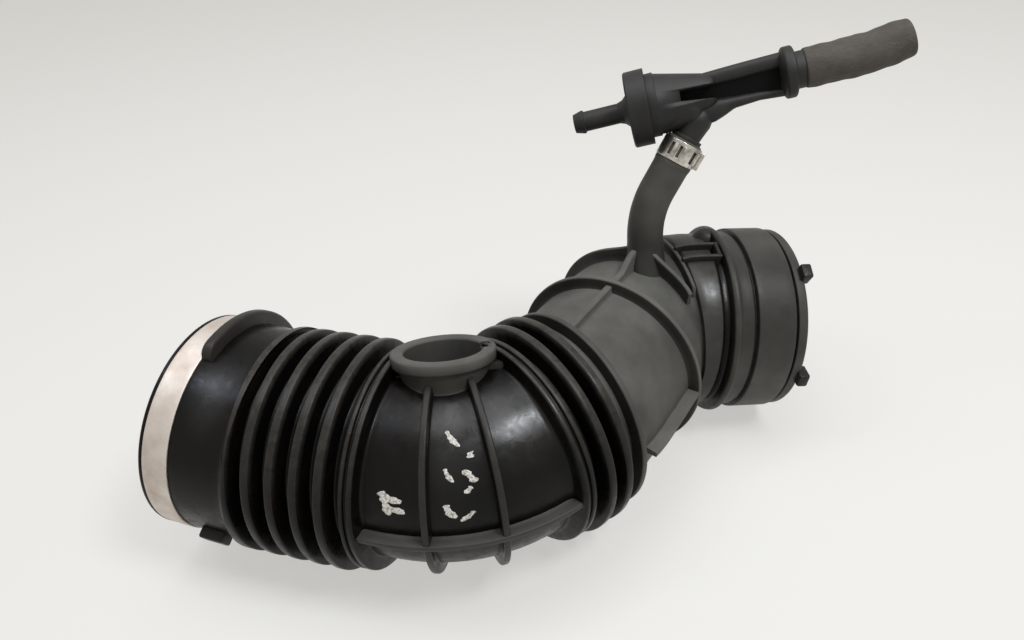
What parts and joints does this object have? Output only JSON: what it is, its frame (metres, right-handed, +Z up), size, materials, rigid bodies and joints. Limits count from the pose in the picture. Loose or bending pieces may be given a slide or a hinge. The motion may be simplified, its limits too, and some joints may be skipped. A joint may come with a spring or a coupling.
{
  "type": "air intake duct",
  "caption": "Ribbed rubber intake duct with two bellows, an S bend, a side port and a jet pump with a hose on a branch pipe; carries filtered air to an engine.",
  "frame": {"origin": "centre of the inlet mouth", "axes": "+X along the inlet bellows from the inlet mouth towards the bend, +Z up, +Y to the far side, where the duct turns to; the duct lies on its bellows crests"},
  "size_m": [0.2684, 0.218, 0.1818],
  "materials": {
    "duct_rubber": "moulded satin black rubber, worn to grey on the crests",
    "band_metal": "plain rolled metal band, pale and smooth",
    "clamp_steel": "pressed stainless strip",
    "pump_plastic": "moulded glass-filled black plastic, matt",
    "flap_rubber": "thin soft rubber disc",
    "hose_rubber": "fabric-reinforced hose, worn and faded to brown-grey"
  },
  "bodies": {
    "root": {"duct": "duct_rubber", "inlet_band": "band_metal", "ear_clamp": "clamp_steel", "pump_cap": "pump_plastic", "valve_flap": "flap_rubber", "pump_body": "pump_plastic", "end_hose": "hose_rubber"}
  },
  "joints": []
}
